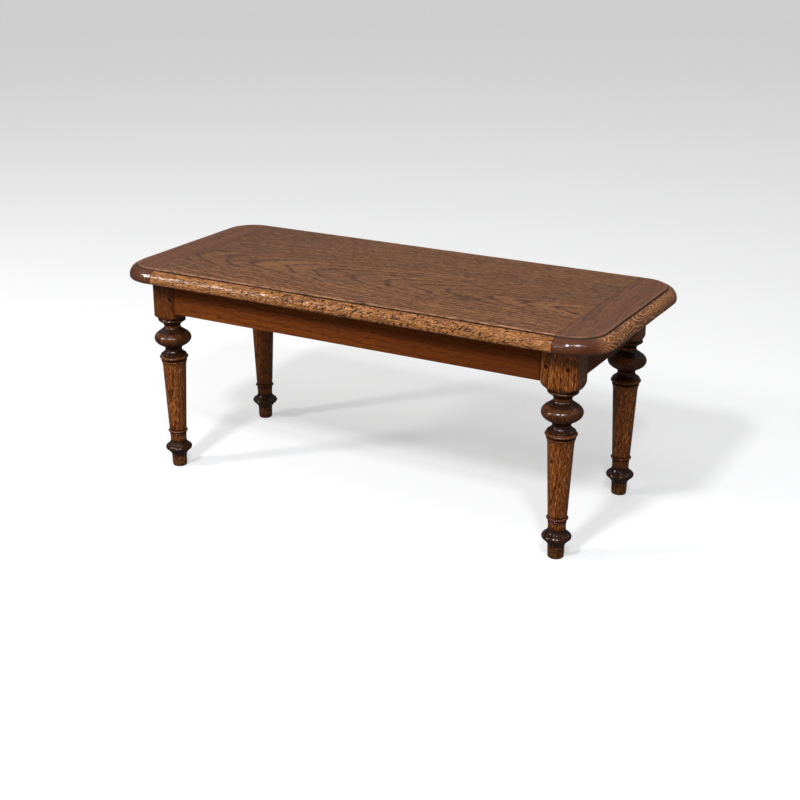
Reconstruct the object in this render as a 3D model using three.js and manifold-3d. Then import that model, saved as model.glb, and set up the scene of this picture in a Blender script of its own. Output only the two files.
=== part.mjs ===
// Quarter-size farmhouse dining table in oak, made as the full-size table is made.
// A wide board tongued into two cross boards makes the top. Four turned legs with square
// heads carry four tenoned rails, pegged from outside, and rubbed glue blocks hold the top.
// Millimetres, +Z up, +X along the table, origin on the floor under the middle of the top.

import * as THREE from 'three';
import { mergeVertices } from 'three/addons/utils/BufferGeometryUtils.js';
import Module from 'manifold-3d';

// Overall size
const TOP_LENGTH = 450;
const TOP_WIDTH = 196;
const TABLE_HEIGHT = 190;

// Top: board thickness, and the edge moulding: a raised lip, a quirk, and a thumb-shaped nose
// that swells slowly to a widest line low on the edge and turns in quickly below it
const TOP_THICKNESS = 13;
const LIP_INSET = 8;
const LIP_CORNER_RADIUS = 25;
const LIP_ARRIS = 0.5;
const QUIRK_DEPTH = 1.4;
const NOSE_CROWN_OUT = 1.3;
const NOSE_WIDEST_DEPTH = 9.8;
const NOSE_FOOT_OUT = 3.6;
const NOSE_UPPER_POWER = 1.08;
const NOSE_LOWER_POWER = 0.8;
const CROSS_BOARD_JOINT_X = 186;
const TONGUE_LENGTH = 9;
const TONGUE_THICKNESS = 4;
const TONGUE_INSET = 16;

// Frame: leg axes, rails and their tenons
const LEG_X = 186;
const LEG_Y = 69.75;
const HEAD_WIDTH = 22.5;
const WIDE_HEAD_WIDTH = 30;
const HEAD_BOTTOM = 138;
const HEAD_ARRIS = 1.2;
const RAIL_BOTTOM = 148;
const RAIL_THICKNESS = 9;
const RAIL_FACE_OUT = 10.25;
const TENON_THICKNESS = 4;
const TENON_LENGTH = 12;
const LONG_TENON_LENGTH = 25;
const TENON_BOTTOM = 151;
const TENON_TOP = 171;

// Pegs through the outside face of a leg head into the tenon
const PEG_HEIGHT = 160.5;
const PEG_WIDTH = 3.6;
const PEG_LENGTH = 10;

// Glue blocks in the angle between the rails and the top
const GLUE_BLOCK_SIDE = 8;
const GLUE_BLOCK_LENGTH = 36;
const GLUE_BLOCK_X = 84;

// Clearance between pieces that touch, and round a peg in its hole
const GAP = 0.25;
const PEG_GAP = 0.15;

const TOP_UNDERSIDE = TABLE_HEIGHT - TOP_THICKNESS;
const FRAME_TOP = TOP_UNDERSIDE - GAP;
const LATHE_SEGMENTS = 26;
const CORNER_SEGMENTS = 9;
const NOSE_UPPER_SEGMENTS = 6;
const NOSE_LOWER_SEGMENTS = 4;
const PEG_SIDES = 8;

const wasm = await Module();
wasm.setup();

// ---------------------------------------------------------------- solids

function solidOf(geometry) {
  geometry.deleteAttribute('normal');
  geometry.deleteAttribute('uv');
  const merged = mergeVertices(geometry, 1e-4);
  return new wasm.Manifold(new wasm.Mesh({
    numProp: 3,
    vertProperties: new Float32Array(merged.attributes.position.array),
    triVerts: new Uint32Array(merged.index.array),
  }));
}

function geometryOf(solid) {
  const mesh = solid.getMesh();
  const geometry = new THREE.BufferGeometry();
  geometry.setAttribute('position', new THREE.BufferAttribute(mesh.vertProperties, 3));
  geometry.setIndex(new THREE.BufferAttribute(mesh.triVerts, 1));
  geometry.computeVertexNormals();
  return geometry;
}

function boxBetween(low, high) {
  const size = high.map((value, i) => value - low[i]);
  const geometry = new THREE.BoxGeometry(...size);
  geometry.translate(...low.map((value, i) => value + size[i] / 2));
  return solidOf(geometry);
}

// A solid of revolution about +Z from a profile of [radius, height] that starts and ends on the axis
function turned(profile) {
  const points = profile.map(([radius, height]) => new THREE.Vector2(radius, height));
  const geometry = new THREE.LatheGeometry(points, LATHE_SEGMENTS);
  geometry.rotateX(Math.PI / 2);
  return solidOf(geometry);
}

// A closed solid through rings of points that run anticlockwise seen from above, lowest ring first
function lofted(rings) {
  const count = rings[0].length;
  const positions = [];
  const index = [];
  rings.forEach((ring) => ring.forEach((point) => positions.push(...point)));
  for (let r = 0; r < rings.length - 1; r += 1) {
    for (let i = 0; i < count; i += 1) {
      const a = r * count + i;
      const b = r * count + ((i + 1) % count);
      index.push(a, b, b + count, a, b + count, a + count);
    }
  }
  const last = (rings.length - 1) * count;
  for (let i = 1; i < count - 1; i += 1) {
    index.push(0, i + 1, i, last, last + i, last + i + 1);
  }
  const geometry = new THREE.BufferGeometry();
  geometry.setAttribute('position', new THREE.Float32BufferAttribute(positions, 3));
  geometry.setIndex(index);
  return solidOf(geometry);
}

// ---------------------------------------------------------------- top

// The moulded edge, as [distance outside the lip, height], from the underside up to the lip.
// Both rounds of the nose are quarter superellipses that meet on its widest line.
function edgeSection() {
  const widest = TABLE_HEIGHT - NOSE_WIDEST_DEPTH;
  const crownRise = NOSE_WIDEST_DEPTH - QUIRK_DEPTH;
  const footDrop = widest - TOP_UNDERSIDE;
  const section = [];
  for (let i = 0; i <= NOSE_LOWER_SEGMENTS; i += 1) {
    const angle = ((i / NOSE_LOWER_SEGMENTS) * Math.PI) / 2;
    const out = Math.abs(Math.sin(angle)) ** NOSE_LOWER_POWER;
    const drop = Math.abs(Math.cos(angle)) ** NOSE_LOWER_POWER;
    section.push([NOSE_FOOT_OUT + (LIP_INSET - NOSE_FOOT_OUT) * out, widest - footDrop * drop]);
  }
  for (let i = 1; i <= NOSE_UPPER_SEGMENTS; i += 1) {
    const angle = ((i / NOSE_UPPER_SEGMENTS) * Math.PI) / 2;
    const out = Math.abs(Math.cos(angle)) ** NOSE_UPPER_POWER;
    const rise = Math.abs(Math.sin(angle)) ** NOSE_UPPER_POWER;
    section.push([NOSE_CROWN_OUT + (LIP_INSET - NOSE_CROWN_OUT) * out, widest + crownRise * rise]);
  }
  section.push([0, TABLE_HEIGHT - QUIRK_DEPTH]);
  section.push([0, TABLE_HEIGHT - LIP_ARRIS]);
  section.push([-LIP_ARRIS, TABLE_HEIGHT]);
  return section;
}

// The rounded rectangle at one distance outside the lip
function topOutline(out, height) {
  const radius = LIP_CORNER_RADIUS + out;
  const centreX = TOP_LENGTH / 2 - LIP_INSET - LIP_CORNER_RADIUS;
  const centreY = TOP_WIDTH / 2 - LIP_INSET - LIP_CORNER_RADIUS;
  const corners = [[1, 1], [-1, 1], [-1, -1], [1, -1]];
  const ring = [];
  corners.forEach(([sideX, sideY], quarter) => {
    for (let i = 0; i <= CORNER_SEGMENTS; i += 1) {
      const angle = (quarter + i / CORNER_SEGMENTS) * Math.PI / 2;
      const x = sideX * centreX + radius * Math.cos(angle);
      const y = sideY * centreY + radius * Math.sin(angle);
      ring.push([x, y, height]);
    }
  });
  return ring;
}

function wholeTop() {
  return lofted(edgeSection().map(([out, height]) => topOutline(out, height)));
}

// A slab that stands for the tongue at one end, grown by a clearance for the groove
function tongue(side, clearance) {
  const halfWidth = TOP_WIDTH / 2 - TONGUE_INSET + clearance;
  const middle = TABLE_HEIGHT - TOP_THICKNESS / 2;
  const halfThickness = TONGUE_THICKNESS / 2 + clearance;
  const inner = side * (CROSS_BOARD_JOINT_X - 2 - clearance);
  const outer = side * (CROSS_BOARD_JOINT_X + TONGUE_LENGTH + clearance);
  const low = [Math.min(inner, outer), -halfWidth, middle - halfThickness];
  const high = [Math.max(inner, outer), halfWidth, middle + halfThickness];
  return boxBetween(low, high);
}

function slabAcross(fromX, toX) {
  return boxBetween([fromX, -TOP_WIDTH, 0], [toX, TOP_WIDTH, 2 * TABLE_HEIGHT]);
}

function topBoard() {
  const half = CROSS_BOARD_JOINT_X - GAP / 2;
  return wholeTop().intersect(slabAcross(-half, half)).add(tongue(-1, 0)).add(tongue(1, 0));
}

function crossBoard(side) {
  const inner = side * (CROSS_BOARD_JOINT_X + GAP / 2);
  const outer = side * TOP_LENGTH;
  const slab = slabAcross(Math.min(inner, outer), Math.max(inner, outer));
  return wholeTop().intersect(slab).subtract(tongue(side, GAP));
}

// ---------------------------------------------------------------- legs

// Points on part of an ellipse about [0, middle], from one height angle to another in degrees
function swell(radius, middle, halfHeight, from, to, steps) {
  const points = [];
  for (let i = 0; i <= steps; i += 1) {
    const angle = THREE.MathUtils.degToRad(from + ((to - from) * i) / steps);
    points.push([radius * Math.cos(angle), middle + halfHeight * Math.sin(angle)]);
  }
  return points;
}

// The turning from the floor up to the collar under the square head
function turningProfile() {
  return [
    [0, 0],
    [5.6, 0],
    [6.4, 0.8],
    [6.7, 9.5],
    [7.4, 12.2],
    ...swell(11.9, 18.2, 4.6, -48, 48, 6),
    [7.3, 24],
    [7.1, 26.5],
    [7.3, 31.5],
    ...swell(8.9, 34.2, 1.9, -60, 60, 4),
    [7.7, 37],
    [10.4, 97],
    [11.3, 101],
    [11.6, 102.4],
    ...swell(12.8, 105.2, 2.6, -60, 50, 5),
    [8.6, 110],
    [7.4, 112],
    [7.6, 113.4],
    ...swell(16.3, 122.8, 8.6, -60, 60, 12),
    [7.5, 132],
    [7.2, 133.6],
    [7.8, 135.2],
    [9.6, 137.2],
    [11.8, 139],
    [12.1, 140.4],
    [11, 141.4],
    [11, 142.4],
    [0, 142.4],
  ];
}

// The rounded shoulder that the lathe leaves at the foot of the square head
function shoulderProfile() {
  return [
    [0, HEAD_BOTTOM + 3],
    [11, HEAD_BOTTOM + 3],
    [14, HEAD_BOTTOM + 4.6],
    [16.6, HEAD_BOTTOM + 6.8],
    [18.4, HEAD_BOTTOM + 9.4],
    [19.6, HEAD_BOTTOM + 12.4],
    [20, HEAD_BOTTOM + 16],
    [20, FRAME_TOP],
    [0, FRAME_TOP],
  ];
}

function squareHead(width) {
  const halfX = width / 2;
  const halfY = HEAD_WIDTH / 2;
  const outline = [
    [halfX, -halfY + HEAD_ARRIS],
    [halfX, halfY - HEAD_ARRIS],
    [halfX - HEAD_ARRIS, halfY],
    [-halfX + HEAD_ARRIS, halfY],
    [-halfX, halfY - HEAD_ARRIS],
    [-halfX, -halfY + HEAD_ARRIS],
    [-halfX + HEAD_ARRIS, -halfY],
    [halfX - HEAD_ARRIS, -halfY],
  ];
  const at = (height) => outline.map(([x, y]) => [x, y, height]);
  return lofted([at(HEAD_BOTTOM), at(FRAME_TOP)]).intersect(turned(shoulderProfile()));
}

// A rail tenon in a leg's own frame, grown by a clearance for its mortise.
// along is 'x' for a long rail and 'y' for an end rail; side says which way its rail lies.
function tenon(leg, along, clearance) {
  const long = along === 'x';
  const towards = long ? -leg.sideX : -leg.sideY;
  const outward = long ? leg.sideY : leg.sideX;
  const headHalf = (long ? leg.headWidth : HEAD_WIDTH) / 2;
  const depth = long ? leg.longTenon : TENON_LENGTH;
  const middle = outward * (RAIL_FACE_OUT - RAIL_THICKNESS / 2);
  const mouth = towards * (headHalf + 2 + clearance);
  const end = towards * (headHalf - depth - clearance);
  const across = TENON_THICKNESS / 2 + clearance;
  const lowAlong = Math.min(mouth, end);
  const highAlong = Math.max(mouth, end);
  const lowZ = TENON_BOTTOM - clearance;
  const highZ = TENON_TOP + clearance;
  return long
    ? boxBetween([lowAlong, middle - across, lowZ], [highAlong, middle + across, highZ])
    : boxBetween([middle - across, lowAlong, lowZ], [middle + across, highAlong, highZ]);
}

// A peg in a leg's own frame, driven in from the outside face of the head
function peg(leg, offset, clearance) {
  const radius = PEG_WIDTH / 2 + clearance;
  const face = (leg.sideY * HEAD_WIDTH) / 2;
  const geometry = new THREE.CylinderGeometry(radius, radius, PEG_LENGTH + clearance, PEG_SIDES);
  geometry.rotateY(Math.PI / PEG_SIDES);
  const middle = face - (leg.sideY * (PEG_LENGTH + clearance)) / 2;
  geometry.translate(offset, middle, PEG_HEIGHT);
  return solidOf(geometry);
}

function turnedLeg(leg) {
  let solid = turned(turningProfile()).add(squareHead(leg.headWidth));
  solid = solid.subtract(tenon(leg, 'x', GAP)).subtract(tenon(leg, 'y', GAP));
  leg.pegOffsets.forEach((offset) => {
    solid = solid.subtract(peg(leg, offset, PEG_GAP));
  });
  return solid;
}

// ---------------------------------------------------------------- rails

function moved(solid, x, y) {
  const geometry = geometryOf(solid);
  geometry.translate(x, y, 0);
  return solidOf(geometry);
}

function placed(solid, leg) {
  return moved(solid, leg.sideX * LEG_X, leg.sideY * LEG_Y);
}

function cutForPegs(solid, legs) {
  return legs.reduce((rest, leg) => leg.pegOffsets.reduce(
    (piece, offset) => piece.subtract(placed(peg(leg, offset, PEG_GAP), leg)),
    rest,
  ), solid);
}

function longRail(left, right) {
  const face = left.sideY * (LEG_Y + RAIL_FACE_OUT);
  const back = face - left.sideY * RAIL_THICKNESS;
  const low = [-LEG_X + left.headWidth / 2 + GAP, Math.min(face, back), RAIL_BOTTOM];
  const high = [LEG_X - right.headWidth / 2 - GAP, Math.max(face, back), FRAME_TOP];
  const body = boxBetween(low, high);
  const whole = body.add(placed(tenon(left, 'x', 0), left)).add(placed(tenon(right, 'x', 0), right));
  return cutForPegs(whole, [left, right]);
}

function endRail(front, back) {
  const face = front.sideX * (LEG_X + RAIL_FACE_OUT);
  const inside = face - front.sideX * RAIL_THICKNESS;
  const reach = LEG_Y - HEAD_WIDTH / 2 - GAP;
  const low = [Math.min(face, inside), -reach, RAIL_BOTTOM];
  const high = [Math.max(face, inside), reach, FRAME_TOP];
  return boxBetween(low, high)
    .add(placed(tenon(front, 'y', 0), front))
    .add(placed(tenon(back, 'y', 0), back));
}

// A three-cornered block rubbed into the angle under the top, its long way along X
function glueBlock() {
  const shape = new THREE.Shape();
  shape.moveTo(0, 0);
  shape.lineTo(-GLUE_BLOCK_SIDE, 0);
  shape.lineTo(-GLUE_BLOCK_SIDE, -1.5);
  shape.lineTo(-1.5, -GLUE_BLOCK_SIDE);
  shape.lineTo(0, -GLUE_BLOCK_SIDE);
  shape.closePath();
  const geometry = new THREE.ExtrudeGeometry(shape, { depth: GLUE_BLOCK_LENGTH, bevelEnabled: false });
  geometry.translate(0, 0, -GLUE_BLOCK_LENGTH / 2);
  geometry.rotateX(Math.PI / 2);
  geometry.rotateZ(Math.PI / 2);
  return geometry;
}

// ---------------------------------------------------------------- assembly

const LEGS = {
  front_left: {
    sideX: -1, sideY: -1, headWidth: HEAD_WIDTH, longTenon: TENON_LENGTH, pegOffsets: [7.2],
  },
  front_right: {
    sideX: 1, sideY: -1, headWidth: WIDE_HEAD_WIDTH, longTenon: LONG_TENON_LENGTH,
    pegOffsets: [-10.2, 7.6],
  },
  back_left: {
    sideX: -1, sideY: 1, headWidth: HEAD_WIDTH, longTenon: TENON_LENGTH, pegOffsets: [7.2],
  },
  back_right: {
    sideX: 1, sideY: 1, headWidth: HEAD_WIDTH, longTenon: TENON_LENGTH, pegOffsets: [-7.2],
  },
};

const COLOURS = {
  top: 0x7c5636,
  crossBoard: 0x6e4630,
  leg: 0x7a4a22,
  rail: 0x5c3015,
  peg: 0x3a2010,
  glueBlock: 0xa07a4c,
};

const table = new THREE.Group();
table.name = 'dining_table';

function addPiece(name, geometry, colour, roughness = 0.6) {
  const material = new THREE.MeshStandardMaterial({ color: colour, roughness, metalness: 0 });
  const mesh = new THREE.Mesh(geometry, material);
  mesh.name = name;
  table.add(mesh);
  return mesh;
}

addPiece('top_board', geometryOf(topBoard()), COLOURS.top, 0.65);
addPiece('left_cross_board', geometryOf(crossBoard(-1)), COLOURS.crossBoard, 0.5);
addPiece('right_cross_board', geometryOf(crossBoard(1)), COLOURS.crossBoard, 0.5);

Object.entries(LEGS).forEach(([place, leg]) => {
  const mesh = addPiece(`${place}_leg`, geometryOf(turnedLeg(leg)), COLOURS.leg, 0.45);
  mesh.position.set(leg.sideX * LEG_X, leg.sideY * LEG_Y, 0);
  leg.pegOffsets.forEach((offset) => {
    const which = leg.pegOffsets.length === 1 ? '' : (offset < 0 ? '_inner' : '_outer');
    const pin = addPiece(`${place}${which}_peg`, geometryOf(peg(leg, offset, 0)), COLOURS.peg);
    pin.position.copy(mesh.position);
  });
});

addPiece('front_rail', geometryOf(longRail(LEGS.front_left, LEGS.front_right)), COLOURS.rail);
addPiece('back_rail', geometryOf(longRail(LEGS.back_left, LEGS.back_right)), COLOURS.rail);
addPiece('left_end_rail', geometryOf(endRail(LEGS.front_left, LEGS.back_left)), COLOURS.rail);
addPiece('right_end_rail', geometryOf(endRail(LEGS.front_right, LEGS.back_right)), COLOURS.rail);

function addGlueBlock(name, x, y, turn) {
  const block = addPiece(name, glueBlock(), COLOURS.glueBlock, 0.8);
  block.position.set(x, y, FRAME_TOP);
  block.rotation.z = turn;
}

const insideLong = LEG_Y + RAIL_FACE_OUT - RAIL_THICKNESS - GAP;
const insideEnd = LEG_X + RAIL_FACE_OUT - RAIL_THICKNESS - GAP;
addGlueBlock('front_left_glue_block', -GLUE_BLOCK_X, -insideLong, Math.PI);
addGlueBlock('front_right_glue_block', GLUE_BLOCK_X, -insideLong, Math.PI);
addGlueBlock('back_left_glue_block', -GLUE_BLOCK_X, insideLong, 0);
addGlueBlock('back_right_glue_block', GLUE_BLOCK_X, insideLong, 0);
addGlueBlock('left_end_glue_block', -insideEnd, 0, Math.PI / 2);
addGlueBlock('right_end_glue_block', insideEnd, 0, -Math.PI / 2);

export default table;
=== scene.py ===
import math

import bmesh
import bpy
import numpy as np
from mathutils import Matrix, Vector, noise


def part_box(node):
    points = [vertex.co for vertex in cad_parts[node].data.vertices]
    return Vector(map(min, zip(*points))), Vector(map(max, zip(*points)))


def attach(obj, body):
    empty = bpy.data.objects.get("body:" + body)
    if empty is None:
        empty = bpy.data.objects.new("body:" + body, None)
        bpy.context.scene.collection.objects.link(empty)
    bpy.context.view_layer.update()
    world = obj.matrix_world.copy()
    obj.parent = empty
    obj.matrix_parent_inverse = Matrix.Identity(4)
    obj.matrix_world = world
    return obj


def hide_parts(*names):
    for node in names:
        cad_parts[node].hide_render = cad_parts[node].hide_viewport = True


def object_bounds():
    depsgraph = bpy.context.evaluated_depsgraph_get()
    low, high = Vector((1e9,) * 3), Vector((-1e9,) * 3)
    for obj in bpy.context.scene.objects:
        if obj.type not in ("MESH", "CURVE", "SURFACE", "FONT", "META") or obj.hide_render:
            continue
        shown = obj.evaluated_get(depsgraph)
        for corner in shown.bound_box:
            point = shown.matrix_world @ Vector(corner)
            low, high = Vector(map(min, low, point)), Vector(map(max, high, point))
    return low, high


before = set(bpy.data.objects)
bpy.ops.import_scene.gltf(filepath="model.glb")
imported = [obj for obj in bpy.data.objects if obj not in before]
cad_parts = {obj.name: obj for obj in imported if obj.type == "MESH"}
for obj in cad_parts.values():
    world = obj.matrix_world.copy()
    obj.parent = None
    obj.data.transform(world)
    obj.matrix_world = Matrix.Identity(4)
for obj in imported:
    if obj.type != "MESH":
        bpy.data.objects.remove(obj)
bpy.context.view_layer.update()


# ---------------------------------------------------------------- the top board
# One wide flat-sawn oak board, planed by hand, waxed and worn. Its long edges carry the table's
# moulding, a small raised lip, a quirk painted dark with grime and the painted shade of its step,
# and a thumb-shaped nose, and its ends are tongued into the cross boards.

MM = 0.001

top_high = Vector(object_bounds()[1])
board_low, board_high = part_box("top_board")
SURFACE = top_high.z
HALF_WIDTH = top_high.y
THICKNESS = board_high.z - board_low.z
JOINT_X = 185.875 * MM
LIP_INSET = 8 * MM
LIP_LINE = HALF_WIDTH - LIP_INSET
TONGUE_HALF_WIDTH = board_high.y - 16 * MM
TONGUE_THICKNESS = 4 * MM
FLAT_INSET = 0.75 * MM


def moulding():
    """The edge from the lip to the underside: [outside the lip, below the surface, grime and painted shade,
    nose].
    """
    points = []
    arris = 0.6
    for angle in np.radians(np.linspace(90, 0, 5)):
        points.append((arris * math.cos(angle) - arris, arris - arris * math.sin(angle), 0.0, 0.0))
    # The third value paints the quirk under the lip dark: grime, and painted shade of the step.
    points += [(0.01, 0.9, 0.25, 0), (0.03, 1.35, 1, 0.1), (0.18, 1.85, 1, 0.3), (0.5, 1.88, 1, 0.6),
               (0.8, 1.7, 0.5, 0.9), (1.2, 1.57, 0.1, 1)]
    widest, crown_out, foot_out, crown_depth, foot_depth = 9.8, 1.3, 3.6, 1.4, 13.0
    reach, crown_power, foot_power = 8, 1.08, 0.8
    for angle in np.radians(np.linspace(83, 0, 20)):
        out = crown_out + (reach - crown_out) * math.cos(angle) ** crown_power
        down = widest - (widest - crown_depth) * math.sin(angle) ** crown_power
        points.append((out, down, 0.0, 1.0))
    for angle in np.radians(np.linspace(0, 90, 13)[1:]):
        out = foot_out + (reach - foot_out) * abs(math.cos(angle)) ** foot_power
        down = widest + (foot_depth - widest) * math.sin(angle) ** foot_power
        points.append((out, down, 0.0, 1.0))
    points += [(0.5, foot_depth, 0, 0.6), (-4, foot_depth, 0, 0)]
    return [(out * MM, down * MM, grime, nose) for out, down, grime, nose in points]


def wander(x, y, z, size, seed):
    """A slow unevenness between -1 and 1 whose bumps are about size across."""
    return noise.noise(Vector((x / size + 7.1 * seed, y / size - 3.7 * seed, z / size + seed)))


def worn(point, out, nose):
    """The worn height of a surface point, and how far the lip or nose has been rubbed inwards."""
    x, y, z = point
    hollow = 0.10 * (wander(x, y, 0, 0.05, 1) - 0.9) + 0.05 * (wander(x, y, 0, 0.018, 2) - 0.9)
    if nose > 0.9:
        rub = 0.16 * (wander(x, y, z, 0.03, 3) - 0.8) + 0.14 * (wander(x, y, z, 0.006, 4) - 0.8)
        return z, min(rub, 0.0) * MM
    if out > -1.0 * MM:
        nibble = 0.10 * (wander(x, y, 0, 0.012, 5) - 0.8) + 0.12 * (wander(x, y, 0, 0.004, 6) - 0.7)
        return z, min(nibble, 0.0) * MM
    return z + min(hollow, 0.0) * MM, 0.0


def face_outwards(mesh):
    shell = bmesh.new()
    shell.from_mesh(mesh)
    bmesh.ops.recalc_face_normals(shell, faces=shell.faces[:])
    shell.to_mesh(mesh)
    shell.free()


def build_mesh(name, vertices, faces, marks=None):
    """A closed mesh object with smooth shading and one float mark a vertex for each name in marks."""
    mesh = bpy.data.meshes.new(name)
    mesh.from_pydata([tuple(v) for v in vertices], [], faces)
    for mark, values in (marks or {}).items():
        layer = mesh.attributes.new(mark, "FLOAT", "POINT")
        layer.data.foreach_set("value", np.asarray(values, np.float32))
    face_outwards(mesh)
    mesh.polygons.foreach_set("use_smooth", [len(face.vertices) <= 4 for face in mesh.polygons])
    piece = bpy.data.objects.new(name, mesh)
    bpy.context.scene.collection.objects.link(piece)
    return piece


def tube_faces(rows, columns):
    """The quads of a skin of rows, each a closed loop of columns points, and the two end faces."""
    faces = []
    for r in range(rows - 1):
        for c in range(columns):
            a, b = r * columns + c, r * columns + (c + 1) % columns
            faces.append((a, b, b + columns, a + columns))
    faces.append(tuple(range(columns)))
    faces.append(tuple((rows - 1) * columns + c for c in range(columns)))
    return faces


def box_mesh(name, low, high):
    """A plain closed block that cuts or joins another piece and is then thrown away."""
    corners = [(x, y, z) for x in (low[0], high[0]) for y in (low[1], high[1]) for z in (low[2], high[2])]
    faces = [(0, 1, 3, 2), (4, 6, 7, 5), (0, 4, 5, 1), (2, 3, 7, 6), (0, 2, 6, 4), (1, 5, 7, 3)]
    return build_mesh(name, corners, faces)


def settle(piece):
    """Makes what the modifiers give into the piece's own plain mesh."""
    bpy.context.view_layer.update()
    graph = bpy.context.evaluated_depsgraph_get()
    result = bpy.data.meshes.new_from_object(piece.evaluated_get(graph))
    piece.modifiers.clear()
    piece.data = result
    result.name = piece.name
    return piece


def combine(piece, operation, tools):
    """Cuts the tools out of the piece, or joins them to it, and throws the tools away."""
    for tool in tools:
        step = piece.modifiers.new("work", "BOOLEAN")
        step.operation = operation
        step.solver = "MANIFOLD"
        step.object = tool
        settle(piece)
        bpy.data.objects.remove(tool)
    return piece


def lip_wear_and_highlight(out, z):
    """1 on the lip's rounded arris: wax rubbed off by hands, and a painted highlight line."""
    return 1.0 if -0.62 * MM < out < 0.005 * MM and z > SURFACE - 0.7 * MM else 0.0


def long_edge_loop():
    """The board's section as a loop of [y, z, out, grime and painted shade, nose], front edge first."""
    edge = moulding()
    flat = np.linspace(-1, 1, 74)[1:-1] * (LIP_LINE - FLAT_INSET)
    loop = [(-LIP_LINE - out, SURFACE - down, out, grime, nose) for out, down, grime, nose in edge[::-1]]
    loop += [(y, SURFACE, -1, 0, 0) for y in flat]
    loop += [(LIP_LINE + out, SURFACE - down, out, grime, nose) for out, down, grime, nose in edge]
    loop += [(y, SURFACE - THICKNESS, -1, 0, 0) for y in np.linspace(1, -1, 12) * (LIP_LINE - 10 * MM)]
    return loop


def make_top_board():
    loop = long_edge_loop()
    stations = np.linspace(-JOINT_X, JOINT_X, 430)
    vertices, grime_and_shade_marks, noses, wear_and_highlight_marks = [], [], [], []
    for x in stations:
        for y, z, out, grime, nose in loop:
            side = -1 if y < 0 else 1
            if z > SURFACE - THICKNESS + 0.1 * MM:
                z_worn, inward = worn((x, y, z), out, nose)
                vertices.append((x, y + side * inward, z_worn))
            else:
                vertices.append((x, y, z))
            grime_and_shade_marks.append(grime)
            noses.append(nose)
            wear_and_highlight_marks.append(lip_wear_and_highlight(out, z))
    marks = {"grime": grime_and_shade_marks, "nose": noses, "wear": wear_and_highlight_marks}
    piece = build_mesh("oak_top_board", vertices, tube_faces(len(stations), len(loop)), marks)
    middle = SURFACE - THICKNESS / 2
    for side in (-1, 1):
        reach = sorted((side * (JOINT_X - 2 * MM), side * (JOINT_X + 9.1 * MM)))
        low = (reach[0], -TONGUE_HALF_WIDTH, middle - TONGUE_THICKNESS / 2)
        high = (reach[1], TONGUE_HALF_WIDTH, middle + TONGUE_THICKNESS / 2)
        combine(piece, "UNION", [box_mesh("tongue", low, high)])
    return piece


# Node helpers for the finishes. Every value is either a number or another node's socket.
def feed(tree, socket, value):
    if isinstance(value, bpy.types.NodeSocket):
        tree.links.new(value, socket)
    else:
        socket.default_value = value


def calc(tree, operation, *values, clamp=False):
    node = tree.nodes.new("ShaderNodeMath")
    node.operation = operation
    node.use_clamp = clamp
    for socket, value in zip(node.inputs, values):
        feed(tree, socket, value)
    return node.outputs[0]


def times(tree, first, second):
    return calc(tree, "MULTIPLY", first, second)


def plus(tree, first, second, clamp=False):
    return calc(tree, "ADD", first, second, clamp=clamp)


def own_place(tree):
    return tree.nodes.new("ShaderNodeTexCoord").outputs["Object"]


def axes(tree, vector):
    node = tree.nodes.new("ShaderNodeSeparateXYZ")
    tree.links.new(vector, node.inputs[0])
    return node.outputs


def stretched(tree, vector, scale, shift=(0, 0, 0), turn=(0, 0, 0)):
    node = tree.nodes.new("ShaderNodeMapping")
    feed(tree, node.inputs["Vector"], vector)
    node.inputs["Location"].default_value = shift
    node.inputs["Rotation"].default_value = [math.radians(a) for a in turn]
    node.inputs["Scale"].default_value = scale
    return node.outputs[0]


def clouds(tree, vector, detail=2.0, roughness=0.5):
    node = tree.nodes.new("ShaderNodeTexNoise")
    feed(tree, node.inputs["Vector"], vector)
    node.inputs["Scale"].default_value = 1.0
    node.inputs["Detail"].default_value = detail
    node.inputs["Roughness"].default_value = roughness
    return node.outputs["Fac"]


def between(tree, value, low, high):
    """0 below low and 1 above high (or the other way round when low is the larger), smooth between."""
    node = tree.nodes.new("ShaderNodeMapRange")
    node.interpolation_type = "SMOOTHSTEP"
    feed(tree, node.inputs["Value"], value)
    start, end, first, last = (low, high, 0.0, 1.0) if low < high else (high, low, 1.0, 0.0)
    node.inputs["From Min"].default_value = start
    node.inputs["From Max"].default_value = end
    node.inputs["To Min"].default_value = first
    node.inputs["To Max"].default_value = last
    return node.outputs["Result"]


def mixed(tree, factor, first, second):
    node = tree.nodes.new("ShaderNodeMix")
    node.data_type = "RGBA"
    feed(tree, node.inputs["Factor"], factor)
    for name, value in (("A", first), ("B", second)):
        socket = [s for s in node.inputs if s.name == name and s.type == "RGBA"][0]
        feed(tree, socket, value if isinstance(value, bpy.types.NodeSocket) else (*value, 1.0))
    return [s for s in node.outputs if s.type == "RGBA"][0]


def tint(tree, wood, cover, share, colour):
    """The wood with a share of colour where cover is 1."""
    return mixed(tree, times(tree, cover, share), wood, colour)


def mark(tree, name):
    node = tree.nodes.new("ShaderNodeAttribute")
    node.attribute_name = name
    return node.outputs["Fac"]


def spots(tree, vector, radius, share):
    """Round spots in a share of the cells that fill the vector's space, 1 inside a spot."""
    node = tree.nodes.new("ShaderNodeTexVoronoi")
    feed(tree, node.inputs["Vector"], vector)
    node.inputs["Scale"].default_value = 1.0
    chosen = tree.nodes.new("ShaderNodeSeparateColor")
    tree.links.new(node.outputs["Color"], chosen.inputs[0])
    near = between(tree, node.outputs["Distance"], radius, radius * 0.55)
    return times(tree, near, calc(tree, "LESS_THAN", chosen.outputs[0], share))


GRAIN_TURNS = {"x": (0, 0, 0), "y": (0, 0, -90), "z": (0, 90, 0)}


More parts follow.
